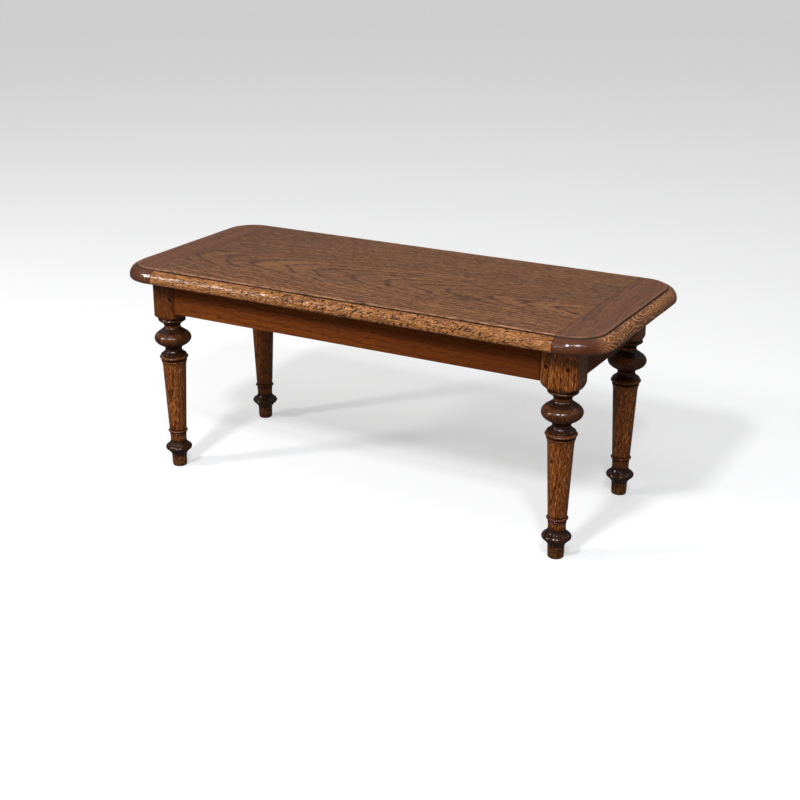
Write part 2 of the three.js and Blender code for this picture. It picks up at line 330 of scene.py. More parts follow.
def oak_figure(tree, along, heart, ring, lean, wobble, shift=(0, 0, 0), pore_length=7.0):
    """Ring-porous oak in millimetres: yearly rings round a leaning heart, pores and fibres."""
    grain = stretched(tree, own_place(tree), (1000, 1000, 1000), shift, GRAIN_TURNS[along])
    x, y, z = axes(tree, grain)
    slow = calc(tree, "SUBTRACT", clouds(tree, stretched(tree, grain, (0.011, 0.02, 0.02)), 2.0), 0.5)
    quick = calc(tree, "SUBTRACT", clouds(tree, stretched(tree, grain, (0.05, 0.16, 0.16)), 3.0), 0.5)
    drift = times(tree, slow, wobble)
    shake = times(tree, quick, wobble * 0.35)
    side = plus(tree, calc(tree, "SUBTRACT", y, heart[0]), drift)
    deep = plus(tree, calc(tree, "SUBTRACT", z, heart[1]), times(tree, x, lean))
    spread = calc(tree, "SQRT", plus(tree, calc(tree, "POWER", side, 2.0),
                                     calc(tree, "POWER", deep, 2.0)))
    years = calc(tree, "DIVIDE", plus(tree, spread, shake), ring)
    part = calc(tree, "FRACT", years)
    early = times(tree, between(tree, part, 0.34, 0.08), between(tree, part, 0.0, 0.07))
    year_tone = tree.nodes.new("ShaderNodeTexWhiteNoise")
    year_tone.noise_dimensions = "1D"
    tree.links.new(calc(tree, "FLOOR", years), year_tone.inputs["W"])
    fine = (1.0 / pore_length, 2.4, 2.4)
    pore = clouds(tree, stretched(tree, grain, fine, (3, 1, 2)), 1.0, 0.4)
    open_pores = between(tree, plus(tree, pore, times(tree, early, 0.09)), 0.565, 0.625)
    fibre = clouds(tree, stretched(tree, grain, (0.03, 1.1, 1.1), (9, 4, 1)), 3.0, 0.6)
    return {"grain": grain, "early": early, "tone": year_tone.outputs["Value"], "pores": open_pores,
            "fibre": fibre}


def new_finish(name, gloss):
    material = bpy.data.materials.new(name)
    material.use_nodes = True
    tree = material.node_tree
    tree.nodes.clear()
    output = tree.nodes.new("ShaderNodeOutputMaterial")
    shader = tree.nodes.new("ShaderNodeBsdfPrincipled")
    shader.inputs["Specular IOR Level"].default_value = gloss
    tree.links.new(shader.outputs["BSDF"], output.inputs["Surface"])
    return material, tree, shader


def coat(tree, shader, wood, roughness):
    feed(tree, shader.inputs["Base Color"], wood)
    feed(tree, shader.inputs["Roughness"], roughness)


def relief(tree, shader, height, depth):
    """Raises the surface by height, where a height of 1 stands depth millimetres high."""
    node = tree.nodes.new("ShaderNodeBump")
    node.inputs["Strength"].default_value = 1.0
    node.inputs["Distance"].default_value = depth * MM
    feed(tree, node.inputs["Height"], height)
    tree.links.new(node.outputs["Normal"], shader.inputs["Normal"])


def board_colours(tree, figure, light, dark, line, pore_colour, line_share=0.6):
    """Heartwood from light to dark by year and fibre, dark early wood, and pores filled with wax."""
    tone = plus(tree, times(tree, figure["tone"], 0.35), times(tree, figure["fibre"], 0.9))
    wood = mixed(tree, between(tree, tone, 0.3, 0.95), light, dark)
    wood = tint(tree, wood, figure["early"], line_share, line)
    return tint(tree, wood, figure["pores"], 0.9, pore_colour)


def top_finish():
    material, tree, shader = new_finish("worn waxed oak board", 0.45)
    figure = oak_figure(tree, "x", heart=(-25, 152), ring=4.1, lean=-0.13, wobble=12, pore_length=4.5)
    grain = figure["grain"]
    wood = board_colours(tree, figure, (0.345, 0.143, 0.054), (0.185, 0.069, 0.024),
                         (0.050, 0.016, 0.006), (0.035, 0.011, 0.004), 0.9)
    blotch = clouds(tree, stretched(tree, grain, (0.010, 0.022, 0.022), (4, 2, 0)), 3.0, 0.55)
    wood = tint(tree, wood, between(tree, blotch, 0.42, 0.7), 0.4, (0.130, 0.057, 0.030))
    board_x, board_y, _ = axes(tree, grain)
    # Painted shade: the board darkens towards its left end and towards the back.
    shade = plus(tree, between(tree, board_x, -60.0, -210.0),
                 between(tree, board_y, -60.0, 90.0))
    wood = tint(tree, wood, shade, 0.42, (0.115, 0.050, 0.027))
    cracks = clouds(tree, stretched(tree, grain, (0.07, 1.0, 1.0), (6, 3, 1)), 2.0, 0.5)
    cracks = between(tree, cracks, 0.63, 0.66)
    wood = tint(tree, wood, cracks, 0.92, (0.018, 0.006, 0.003))
    stain_x = calc(tree, "DIVIDE", calc(tree, "SUBTRACT", board_x, 86.0), 19.0)
    stain_y = calc(tree, "DIVIDE", plus(tree, board_y, 37.0), 8.0)
    stain = plus(tree, times(tree, stain_x, stain_x), times(tree, stain_y, stain_y))
    edge = clouds(tree, stretched(tree, grain, (0.12, 0.35, 0.35), (1, 1, 6)), 3.0, 0.6)
    stain = between(tree, plus(tree, stain, times(tree, edge, 2.4)), 2.2, 0.9)
    wood = tint(tree, wood, stain, 0.8, (0.035, 0.013, 0.006))
    flecks = clouds(tree, stretched(tree, grain, (0.16, 1.5, 1.5), (7, 7, 2)), 2.0, 0.6)
    wood = tint(tree, wood, between(tree, flecks, 0.54, 0.66), 0.42, (0.50, 0.27, 0.14))
    pits = spots(tree, stretched(tree, grain, (0.075, 0.13, 0.13)), 0.12, 0.3)
    wood = tint(tree, wood, pits, 0.9, (0.015, 0.006, 0.003))
    nose = mark(tree, "nose")
    streaks = clouds(tree, stretched(tree, grain, (0.08, 0.9, 0.9), (2, 2, 7)), 3.0, 0.6)
    tan = mixed(tree, between(tree, streaks, 0.34, 0.64), (0.50, 0.205, 0.062), (0.23, 0.078, 0.021))
    tan = tint(tree, tan, figure["pores"], 0.65, (0.07, 0.021, 0.006))
    slanted = stretched(tree, grain, (1, 1, 1), (0, 0, 0), (0, 30, 0))
    checks = clouds(tree, stretched(tree, slanted, (0.20, 0.42, 0.85), (1, 5, 2)), 1.5, 0.5)
    busier = times(tree, between(tree, board_x, -120.0, -50.0), 0.055)
    busier = times(tree, busier, between(tree, board_x, 190.0, 90.0))
    gashes = between(tree, plus(tree, checks, busier), 0.635, 0.675)
    scales = clouds(tree, stretched(tree, slanted, (0.42, 1.0, 1.7), (4, 2, 9)), 2.0, 0.55)
    tan = tint(tree, tan, between(tree, scales, 0.52, 0.62), 0.6, (0.075, 0.024, 0.007))
    tan = tint(tree, tan, between(tree, scales, 0.46, 0.36), 0.5, (0.66, 0.32, 0.115))
    tan = tint(tree, tan, gashes, 0.92, (0.022, 0.007, 0.003))
    wood = mixed(tree, nose, wood, tan)
    # The lip's arris is painted lighter: worn wax, and a painted highlight line along it.
    rubbed_and_highlit = clouds(tree, stretched(tree, grain, (0.12, 0.3, 0.3), (8, 1, 3)), 2.0)
    rubbed_and_highlit = times(tree, mark(tree, "wear"), between(tree, rubbed_and_highlit, 0.40, 0.60))
    wood = tint(tree, wood, rubbed_and_highlit, 0.6, (0.50, 0.25, 0.13))
    # The quirk is painted near-black: grime, and painted shade under the lip's step.
    grime = mark(tree, "grime")
    wood = mixed(tree, grime, wood, (0.006, 0.002, 0.001))
    shine = plus(tree, 0.52, times(tree, blotch, 0.14))
    shine = calc(tree, "SUBTRACT", shine, times(tree, nose, 0.38))
    shine = plus(tree, shine, times(tree, figure["pores"], 0.2))
    shine = plus(tree, shine, times(tree, grime, 0.7), clamp=True)
    coat(tree, shader, wood, shine)
    sunk = plus(tree, times(tree, figure["pores"], 0.4), times(tree, figure["early"], 0.15))
    sunk = plus(tree, sunk, times(tree, plus(tree, pits, cracks), 0.7))
    sunk = plus(tree, sunk, times(tree, times(tree, gashes, nose), 1.2))
    sunk = plus(tree, sunk, times(tree, times(tree, streaks, nose), 0.5))
    relief(tree, shader, times(tree, sunk, -1.0), 0.45)
    return material


top_board = make_top_board()
top_board.data.materials.clear()
top_board.data.materials.append(top_finish())
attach(top_board, "root")
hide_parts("top_board")


# ---------------------------------------------------------------- the cross boards
# Two short oak boards with their grain across the table keep the wide board flat. Each is
# grooved for the tongue, rounded at its corners and moulded like the long edges.

OUTER_X = top_high.x
LIP_END = OUTER_X - LIP_INSET
LIP_RADIUS = 25 * MM
SEAM_X = JOINT_X + 0.25 * MM


def lip_path():
    """The lip round the right-hand end, front seam to back seam: [x, y, normal x, normal y, run]."""
    centre_x, centre_y = LIP_END - LIP_RADIUS, LIP_LINE - LIP_RADIUS
    path = [(x, -LIP_LINE, 0, -1) for x in np.linspace(SEAM_X, centre_x, 8)[:-1]]
    for angle in np.radians(np.linspace(-90, 0, 56)):
        nx, ny = math.cos(angle), math.sin(angle)
        path.append((centre_x + LIP_RADIUS * nx, -centre_y + LIP_RADIUS * ny, nx, ny))
    path += [(LIP_END, y, 1, 0) for y in np.linspace(-centre_y, 0, 76)[1:]]
    path += [(x, -y, nx, -ny) for x, y, nx, ny in path[-2::-1]]
    return path


def make_cross_board(name, side):
    path = lip_path()
    edge = moulding()
    inner_reach = LIP_LINE - 8 * MM
    vertices, grime_and_shade_marks, noses, wear_and_highlight_marks, ends = [], [], [], [], []
    for index, (px, py, nx, ny) in enumerate(path):
        share = index / (len(path) - 1)
        seam = (SEAM_X, -inner_reach + 2 * inner_reach * share)
        start = (px - nx * FLAT_INSET, py - ny * FLAT_INSET)
        row = []
        for t in np.linspace(0, 1, 14)[:-1]:
            row.append((seam[0] + (start[0] - seam[0]) * t, seam[1] + (start[1] - seam[1]) * t, SURFACE,
                        -1.0, 0, 0))
        for out, down, grime, nose in edge:
            row.append((px + nx * out, py + ny * out, SURFACE - down, out, grime, nose))
        under = (px - nx * 4 * MM, py - ny * 4 * MM)
        for t in np.linspace(0, 1, 6)[1:]:
            row.append((under[0] + (seam[0] - under[0]) * t, under[1] + (seam[1] - under[1]) * t,
                        SURFACE - THICKNESS, -1.0, 0, 0))
        for x, y, z, out, grime, nose in row:
            if z > SURFACE - THICKNESS + 0.1 * MM:
                z, inward = worn((side * x, y, z), out, nose)
                x, y = max(x + nx * inward, SEAM_X), y + ny * inward
            vertices.append((side * x, y, z))
            grime_and_shade_marks.append(grime)
            noses.append(nose)
            wear_and_highlight_marks.append(lip_wear_and_highlight(out, z))
            ends.append(abs(ny) * nose)
    columns = len(vertices) // len(path)
    marks = {"grime": grime_and_shade_marks, "nose": noses, "wear": wear_and_highlight_marks, "end_grain": ends}
    piece = build_mesh(name, vertices, tube_faces(len(path), columns), marks)
    middle = SURFACE - THICKNESS / 2
    gap = 0.25 * MM
    reach = sorted((side * (SEAM_X - 2 * MM), side * (SEAM_X + 9 * MM + gap)))
    low = (reach[0], -TONGUE_HALF_WIDTH - gap, middle - TONGUE_THICKNESS / 2 - gap)
    high = (reach[1], TONGUE_HALF_WIDTH + gap, middle + TONGUE_THICKNESS / 2 + gap)
    return combine(piece, "DIFFERENCE", [box_mesh("groove", low, high)])


def cross_board_finish(name, heart, shift):
    material, tree, shader = new_finish(name, 0.9)
    figure = oak_figure(tree, "y", heart=heart, ring=1.3, lean=0.02, wobble=5, shift=shift)
    grain = figure["grain"]
    wood = board_colours(tree, figure, (0.215, 0.074, 0.025), (0.128, 0.042, 0.014),
                         (0.085, 0.029, 0.012), (0.04, 0.013, 0.005), 0.4)
    nose = mark(tree, "nose")
    orange = board_colours(tree, figure, (0.38, 0.140, 0.044), (0.24, 0.080, 0.024),
                           (0.10, 0.031, 0.010), (0.05, 0.015, 0.005), 0.5)
    whorl = tree.nodes.new("ShaderNodeTexVoronoi")
    feed(tree, whorl.inputs["Vector"], stretched(tree, grain, (0.020, 0.085, 0.085), (0.3, 0.1, 0.2)))
    whorl.inputs["Scale"].default_value = 1.0
    whorl.inputs["Randomness"].default_value = 0.6
    waver = clouds(tree, stretched(tree, grain, (0.09, 0.25, 0.25), (3, 8, 4)), 2.0)
    ring = plus(tree, times(tree, whorl.outputs["Distance"], 8.5), times(tree, waver, 1.6))
    ring = calc(tree, "FRACT", ring)
    loops = times(tree, between(tree, ring, 0.48, 0.22), between(tree, ring, 0.0, 0.12))
    orange = tint(tree, orange, loops, 0.75, (0.72, 0.33, 0.125))
    end_brown = mixed(tree, figure["fibre"], (0.125, 0.032, 0.008), (0.055, 0.013, 0.003))
    edge = mixed(tree, between(tree, mark(tree, "end_grain"), 0.25, 0.75), orange, end_brown)
    wood = mixed(tree, nose, wood, edge)
    blotch = clouds(tree, stretched(tree, grain, (0.02, 0.03, 0.03), (4, 2, 0)), 3.0, 0.55)
    wood = tint(tree, wood, between(tree, blotch, 0.45, 0.7), 0.35, (0.11, 0.043, 0.02))
    # The lip's arris is painted lighter: worn wax, and a painted highlight line along it.
    rubbed_and_highlit = times(tree, mark(tree, "wear"), between(tree, blotch, 0.35, 0.55))
    wood = tint(tree, wood, rubbed_and_highlit, 0.28, (0.42, 0.20, 0.10))
    # The quirk is painted near-black: grime, and painted shade under the lip's step.
    grime = mark(tree, "grime")
    wood = mixed(tree, grime, wood, (0.026, 0.008, 0.003))
    shine = calc(tree, "SUBTRACT", 0.64, times(tree, nose, 0.54))
    shine = plus(tree, shine, times(tree, blotch, 0.1))
    shine = plus(tree, shine, times(tree, grime, 0.7), clamp=True)
    coat(tree, shader, wood, shine)
    ripple = clouds(tree, stretched(tree, grain, (0.4, 0.4, 0.4), (2, 8, 1)), 1.0)
    sunk = plus(tree, times(tree, figure["pores"], 0.3), times(tree, figure["early"], 0.12))
    sunk = plus(tree, sunk, times(tree, ripple, 0.3))
    relief(tree, shader, times(tree, sunk, -1.0), 0.2)
    return material


for name, node, side, heart in (("left_cross_board_oak", "left_cross_board", -1, (180, 158)),
                                ("right_cross_board_oak", "right_cross_board", 1, (-182, 158))):
    piece = make_cross_board(name, side)
    piece.data.materials.clear()
    piece.data.materials.append(cross_board_finish(name.replace("_", " "), heart, (side * 40, 0, 0)))
    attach(piece, "root")
    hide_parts(node)


# ---------------------------------------------------------------- the legs
# Each leg is one oak blank. The lathe leaves a bulb foot, a bead, a long taper, a ring, a flat
# ball and a collar under the square head, which is mortised for two rails and holed for pegs.

LEG_X = 186 * MM
LEG_Y = 69.75 * MM
HEAD_HALF = 11.25 * MM
WIDE_HEAD_HALF = 15 * MM
LEG_ROWS = 460
LEG_COLUMNS = 112


def round_part(radius, middle, half_height, low, high, steps, dirt):
    """A swelling of the turning, part of an ellipse between two angles in degrees."""
    points = []
    for angle in np.radians(np.linspace(low, high, steps)):
        points.append((radius * math.cos(angle), middle + half_height * math.sin(angle), dirt))
    return points


def turning():
    """The leg's profile in millimetres, floor to top: [radius, height, darkening of the hollows and foot].
    """
    points = [(0, 0, 0.7), (5.3, 0, 0.7), (6.1, 0.35, 0.75), (6.45, 1.1, 0.7), (6.6, 4, 0.62)]
    points += [(6.7, 9.6, 0.65), (6.85, 11.2, 0.8), (7.4, 12.5, 1.0), (8.0, 13.4, 1.0), (8.7, 13.95, 0.9)]
    points += round_part(11.9, 18.2, 4.7, -42, 44, 15, 0.85)
    points += [(8.1, 22.6, 1.0), (7.5, 23.5, 1.0), (7.15, 25, 0.85), (7.1, 26.5, 0.5), (7.2, 29, 0.35)]
    points += [(7.4, 31.2, 0.5), (7.7, 32.3, 0.7)]
    points += round_part(8.85, 34.2, 1.9, -48, 52, 11, 0.55)
    points += [(7.75, 36.0, 0.75), (7.7, 36.8, 0.45), (7.8, 39, 0.2)]
    points += [(7.8 + 2.55 * t, 39 + 57 * t, 0.0) for t in (0.25, 0.5, 0.75, 1.0)]
    points += [(10.55, 98.2, 0.1), (10.8, 99.6, 0.2), (11.3, 101.0, 0.35), (11.6, 101.9, 0.45)]
    points += round_part(12.8, 105.0, 2.9, -64, 46, 15, 0.55)
    points += [(11.6, 107.45, 1.0), (11.1, 107.85, 0.85), (10.2, 108.5, 0.9), (9.0, 109.4, 1.0)]
    points += [(8.0, 110.5, 1.0), (7.45, 111.7, 0.8), (7.35, 112.6, 0.6), (7.6, 113.6, 0.9)]
    points.append((8.3, 114.4, 1.0))
    points += round_part(16.3, 122.8, 8.6, -56, 40, 28, 0.66)
    points += [(11.9, 128.7, 0.9), (11.2, 129.15, 1.0), (10.9, 129.5, 0.8), (9.8, 130.3, 1.0)]
    points += [(8.4, 131.2, 1.0), (7.6, 132.2, 0.85), (7.2, 133.6, 0.5), (7.35, 134.8, 0.6)]
    points += [(8.1, 136.1, 0.85), (9.6, 137.5, 1.0), (11.2, 138.5, 1.0), (12.0, 139.1, 0.9)]
    points += [(12.2, 139.7, 0.5), (12.0, 140.4, 0.7), (11.2, 140.9, 1.0), (11.1, 141.3, 1.0)]
    points += [(12.6, 142.0, 0.75), (14.2, 143.1, 0.6), (16.4, 144.9, 0.35), (18.2, 147.2, 0.1)]
    points += [(19.4, 150.0, 0.0), (20.0, 154.0, 0.0), (20.0, 176.75, 0.0), (0, 176.75, 0.0)]
    return [(radius * MM, height * MM, dirt) for radius, height, dirt in points]


def add_node(tree, kind, **settings):
    node = tree.nodes.new(kind)
    for key, value in settings.items():
        setattr(node, key, value)
    return node


def shaping_tree(name, inputs):
    """A node tree that takes a geometry and the named inputs, and gives a geometry back."""
    tree = bpy.data.node_groups.new(name, "GeometryNodeTree")
    for label, kind in (("Geometry", "Geometry"), *inputs):
        tree.interface.new_socket(label, in_out="INPUT", socket_type="NodeSocket" + kind)
    tree.interface.new_socket("Geometry", in_out="OUTPUT", socket_type="NodeSocketGeometry")
    return tree, add_node(tree, "NodeGroupInput"), add_node(tree, "NodeGroupOutput")


def painted(tree, given, made, shape):
    """Gives the shape its finish and hands it out of the tree."""
    link = tree.links.new
    real = add_node(tree, "GeometryNodeRealizeInstances")
    link(shape, real.inputs[0])
    paint = add_node(tree, "GeometryNodeSetMaterial")
    link(real.outputs[0], paint.inputs["Geometry"])
    link(given.outputs["Finish"], paint.inputs["Material"])
    link(paint.outputs[0], made.inputs[0])
    return tree


def leg_tree():
    """Turns the profile round the leg's axis, then planes the head square."""
    inputs = (("Half width", "Float"), ("Half depth", "Float"), ("Head from", "Float"),
              ("Finish", "Material"))
    tree, given, made = shaping_tree("turn a leg", inputs)
    link = tree.links.new

    def maths(operation, *values):
        node = add_node(tree, "ShaderNodeMath", operation=operation)
        for socket, value in zip(node.inputs, values):
            feed(tree, socket, value)
        return node.outputs[0]

    profile = add_node(tree, "GeometryNodeMeshToCurve")
    link(given.outputs["Geometry"], profile.inputs["Mesh"])
    grid = add_node(tree, "GeometryNodeMeshGrid")
    for name, value in (("Size X", 1.0), ("Size Y", 1.0)):
        grid.inputs[name].default_value = value
    grid.inputs["Vertices X"].default_value = LEG_COLUMNS + 1
    grid.inputs["Vertices Y"].default_value = LEG_ROWS
    place = add_node(tree, "GeometryNodeInputPosition")
    split = add_node(tree, "ShaderNodeSeparateXYZ")
    link(place.outputs[0], split.inputs[0])
    angle = maths("MULTIPLY", split.outputs[0], 2 * math.pi)
    along = maths("ADD", split.outputs[1], 0.5)
    dirt = add_node(tree, "GeometryNodeInputNamedAttribute", data_type="FLOAT")
    dirt.inputs["Name"].default_value = "dirt"
    sample = add_node(tree, "GeometryNodeSampleCurve", mode="FACTOR", data_type="FLOAT")
    sample.use_all_curves = False
    link(profile.outputs[0], sample.inputs["Curves"])
    link(dirt.outputs["Attribute"], [s for s in sample.inputs if s.name == "Value"][0])
    link(along, sample.inputs["Factor"])
    spot = add_node(tree, "ShaderNodeSeparateXYZ")
    link(sample.outputs["Position"], spot.inputs[0])
    radius, height = spot.outputs[0], spot.outputs[2]
    sharp = 15.0
    flat_x = maths("POWER", maths("DIVIDE", maths("ABSOLUTE", maths("COSINE", angle)),
                                  given.outputs["Half width"]), sharp)
    flat_y = maths("POWER", maths("DIVIDE", maths("ABSOLUTE", maths("SINE", angle)),
                                  given.outputs["Half depth"]), sharp)
    square = maths("POWER", maths("ADD", flat_x, flat_y), -1.0 / sharp)
    planed = maths("MINIMUM", radius, square)
    is_head = maths("GREATER_THAN", height, given.outputs["Head from"])
    shown = maths("ADD", maths("MULTIPLY", planed, is_head),
                  maths("MULTIPLY", radius, maths("SUBTRACT", 1.0, is_head)))
    point = add_node(tree, "ShaderNodeCombineXYZ")
    link(maths("MULTIPLY", shown, maths("COSINE", angle)), point.inputs[0])
    link(maths("MULTIPLY", shown, maths("SINE", angle)), point.inputs[1])
    link(height, point.inputs[2])
    keep = add_node(tree, "GeometryNodeStoreNamedAttribute", data_type="FLOAT", domain="POINT")
    keep.inputs["Name"].default_value = "dirt"
    link(grid.outputs["Mesh"], keep.inputs["Geometry"])
    link([s for s in sample.outputs if s.name == "Value"][0],
         [s for s in keep.inputs if s.name == "Value"][0])
    move = add_node(tree, "GeometryNodeSetPosition")
    link(keep.outputs["Geometry"], move.inputs["Geometry"])
    link(point.outputs[0], move.inputs["Position"])
    weld = add_node(tree, "GeometryNodeMergeByDistance")
    weld.inputs["Distance"].default_value = 1e-6
    link(move.outputs[0], weld.inputs["Geometry"])
    return painted(tree, given, made, weld.outputs[0])


def grown(source, tree, inputs):
    """Runs a node tree on the source object and leaves the result as the object's plain mesh."""
    step = source.modifiers.new("grow", "NODES")
    step.node_group = tree
    for item in tree.interface.items_tree:
        if item.in_out == "INPUT" and item.name in inputs:
            step[item.identifier] = inputs[item.name]
    return settle(source)


def leg_finish(name, shift, ring_heart, head_stain, leg_shade):
    material, tree, shader = new_finish(name, 0.5)
    figure = oak_figure(tree, "z", heart=ring_heart, ring=1.7, lean=0.04, wobble=4, shift=shift,
                        pore_length=4.5)
    grain = figure["grain"]
    wood = board_colours(tree, figure, (0.31, 0.090, 0.017), (0.155, 0.038, 0.006),
                         (0.065, 0.015, 0.0025), (0.025, 0.006, 0.0015), 0.85)
    rays = clouds(tree, stretched(tree, grain, (0.20, 1.1, 1.1), (2, 7, 5)), 1.0)
    wood = tint(tree, wood, between(tree, rays, 0.57, 0.68), 0.45, (0.66, 0.28, 0.085))
    # Darker in the hollows of the turning and round the foot, by the profile's darkening.
    dirt = mark(tree, "dirt")
    patchy = clouds(tree, stretched(tree, grain, (0.10, 0.12, 0.12), (5, 5, 5)), 3.0, 0.6)
    cover = between(tree, plus(tree, dirt, times(tree, patchy, 0.5)), 0.40, 1.20)
    wood = tint(tree, wood, cover, 0.97, (0.016, 0.004, 0.0015))
    height = axes(tree, own_place(tree))[2]
    stained = times(tree, between(tree, height, 0.135, 0.148), head_stain)
    wood = mixed(tree, stained, wood, (0.045, 0.009, 0.0015))
    # Painted shade: the whole leg is darkened by its share, most on the back-left leg, which stands in
    # shadow.
    wood = mixed(tree, leg_shade, wood, (0.045, 0.009, 0.0015))
    scuffs = between(tree, clouds(tree, stretched(tree, grain, (0.7, 1.0, 1.0), (6, 2, 2)), 2.0), 0.56, 0.66)
    scuffs = times(tree, scuffs, between(tree, height, 0.022, 0.012))
    wood = tint(tree, wood, scuffs, 0.75, (0.33, 0.17, 0.055))
    shine = calc(tree, "SUBTRACT", 0.22, times(tree, cover, 0.10))
    shine = plus(tree, shine, times(tree, patchy, 0.08))
    coat(tree, shader, wood, shine)
    sunk = plus(tree, times(tree, figure["pores"], 0.4), times(tree, figure["fibre"], 0.3))
    relief(tree, shader, times(tree, sunk, -1.0), 0.2)
    return material


turn_a_leg = leg_tree()
LEGS = {
    "front_left_leg": (-1, -1, HEAD_HALF),
    "front_right_leg": (1, -1, WIDE_HEAD_HALF),
    "back_left_leg": (-1, 1, HEAD_HALF),
    "back_right_leg": (1, 1, HEAD_HALF),
}
PEG_HOLES = {"front_left_leg": (7.2,), "front_right_leg": (-10.2, 7.6), "back_left_leg": (7.2,),
             "back_right_leg": (-7.2,)}
LEG_HEARTS = {"front_left_leg": (40, 190), "front_right_leg": (60, -230), "back_left_leg": (150, 160),
              "back_right_leg": (20, -120)}
# Per leg: the head's own darker stain, then a share of painted shade over the whole leg.
STAINS_AND_SHADE = {"front_left_leg": (0.6, 0.05), "front_right_leg": (0.0, 0.0), "back_left_leg": (0.2, 0.3),
          "back_right_leg": (0.0, 0.0)}
RAIL_MIDDLE = 10.25 * MM - 4.5 * MM
TENON_HALF = 2 * MM
TENON_LOW, TENON_HIGH = 151 * MM, 171 * MM
PEG_HEIGHT = 160.5 * MM
MORTISE_GAP = 0.25 * MM
MORTISE_DEPTH = 12 * MM
WIDE_HEAD_MORTISE_DEPTH = 25 * MM
HEAD_FROM = 141.2 * MM
HOLE_RADIUS = 1.92 * MM
HOLE_LENGTH = 11.6 * MM
HOLE_WALL_REACH = 2.05 * MM
PEG_RADIUS = 1.88 * MM
PEG_LENGTH = 10 * MM
PEG_SIDES = 8


def peg_shape(name, radius, length, x, face_y, side_y, height, rings):
    """A roughly whittled eight-sided rod that runs in from a leg's outside face."""
    rows, rims = [], []
    for depth, scale, rim in rings:
        for k in range(PEG_SIDES):
            angle = math.pi / PEG_SIDES + 2 * k * math.pi / PEG_SIDES
            wide = radius * scale * (1 + 0.04 * math.sin(3 * angle + 40 * x / MM))
            rows.append((x + wide * math.cos(angle), face_y - side_y * depth * MM,
                         height + wide * math.sin(angle)))
            rims.append(rim)
    rows[-PEG_SIDES:] = [(px, face_y - side_y * length, pz) for px, _, pz in rows[-PEG_SIDES:]]
    return build_mesh(name, rows, tube_faces(len(rings), PEG_SIDES), {"rim": rims})


def peg_finish():
    """End grain that has drunk the polish; it also lines the holes round the pegs."""
    material, tree, shader = new_finish("dark end grain pegs", 0.04)
    grain = stretched(tree, own_place(tree), (1000, 120, 1000))
    speckle = clouds(tree, stretched(tree, grain, (1.6, 1.6, 1.6)), 3.0, 0.6)
    wood = mixed(tree, between(tree, speckle, 0.35, 0.65), (0.060, 0.016, 0.005), (0.022, 0.006, 0.002))
    wood = tint(tree, wood, mark(tree, "rim"), 0.9, (0.010, 0.003, 0.001))
    coat(tree, shader, wood, plus(tree, 0.6, times(tree, speckle, 0.2)))
    relief(tree, shader, speckle, 0.15)
    return material


def line_holes(piece, name, axis_x, dark):
    """Gives the walls of a leg's peg holes the pegs' own dark finish."""
    piece.data.materials.append(dark)
    for face in piece.data.polygons:
        for offset in PEG_HOLES[name]:
            away = math.hypot(face.center.x - axis_x - offset * MM, face.center.z - PEG_HEIGHT)
            if away < HOLE_WALL_REACH and abs(face.normal.y) < 0.5:
                face.material_index = 1


def make_leg(name, side_x, side_y, half_width, finish, dark):
    profile = turning()
    mesh = bpy.data.meshes.new(name)
    mesh.from_pydata([(radius, 0, height) for radius, height, _ in profile],
                     [(i, i + 1) for i in range(len(profile) - 1)], [])
    layer = mesh.attributes.new("dirt", "FLOAT", "POINT")
    layer.data.foreach_set("value", [dirt for _, _, dirt in profile])
    piece = bpy.data.objects.new(name + "_oak", mesh)
    bpy.context.scene.collection.objects.link(piece)
    grown(piece, turn_a_leg, {"Half width": half_width, "Half depth": HEAD_HALF,
                              "Head from": HEAD_FROM, "Finish": finish})
    piece.data.transform(Matrix.Translation((side_x * LEG_X, side_y * LEG_Y, 0)))
    face_outwards(piece.data)
    piece.data.polygons.foreach_set("use_smooth", [True] * len(piece.data.polygons))
    low, high = TENON_LOW - MORTISE_GAP, TENON_HIGH + MORTISE_GAP
    thick = TENON_HALF + MORTISE_GAP
    axis_x, axis_y = side_x * LEG_X, side_y * LEG_Y
    wide = half_width == WIDE_HEAD_HALF
    long_depth = (WIDE_HEAD_MORTISE_DEPTH if wide else MORTISE_DEPTH) + MORTISE_GAP
    along = sorted((axis_x - side_x * (half_width + 3 * MM), axis_x - side_x * (half_width - long_depth)))
    line = axis_y + side_y * RAIL_MIDDLE
    cuts = [box_mesh("mortise", (along[0], line - thick, low), (along[1], line + thick, high))]
    across = sorted((axis_y - side_y * (HEAD_HALF + 3 * MM),
                     axis_y - side_y * (HEAD_HALF - MORTISE_DEPTH - MORTISE_GAP)))
    line = axis_x + side_x * RAIL_MIDDLE
    cuts.append(box_mesh("mortise", (line - thick, across[0], low), (line + thick, across[1], high)))
    for offset in PEG_HOLES[name]:
        cuts.append(peg_shape("hole", HOLE_RADIUS, HOLE_LENGTH, axis_x + offset * MM,
                              axis_y + side_y * (HEAD_HALF + 1.0 * MM), side_y, PEG_HEIGHT,
                              ((0, 1, 0), (1, 1, 0))))
    combine(piece, "DIFFERENCE", cuts)
    line_holes(piece, name, axis_x, dark)
    return piece


peg_oak = peg_finish()
for number, (name, (side_x, side_y, half_width)) in enumerate(LEGS.items()):
    finish = leg_finish(name.replace("_", " ") + " oak", (37 * number, 0, 0), LEG_HEARTS[name],
                        *STAINS_AND_SHADE[name])
    piece = make_leg(name, side_x, side_y, half_width, finish, peg_oak)
    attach(piece, "root")
    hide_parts(name)


# ---------------------------------------------------------------- the rails
# Four sawn and planed oak rails, darker than the legs because the overhang kept them from
# the light. Each has a tenon at both ends and sits a little back from the leg faces.

SHOULDER_GAP = 0.12 * MM


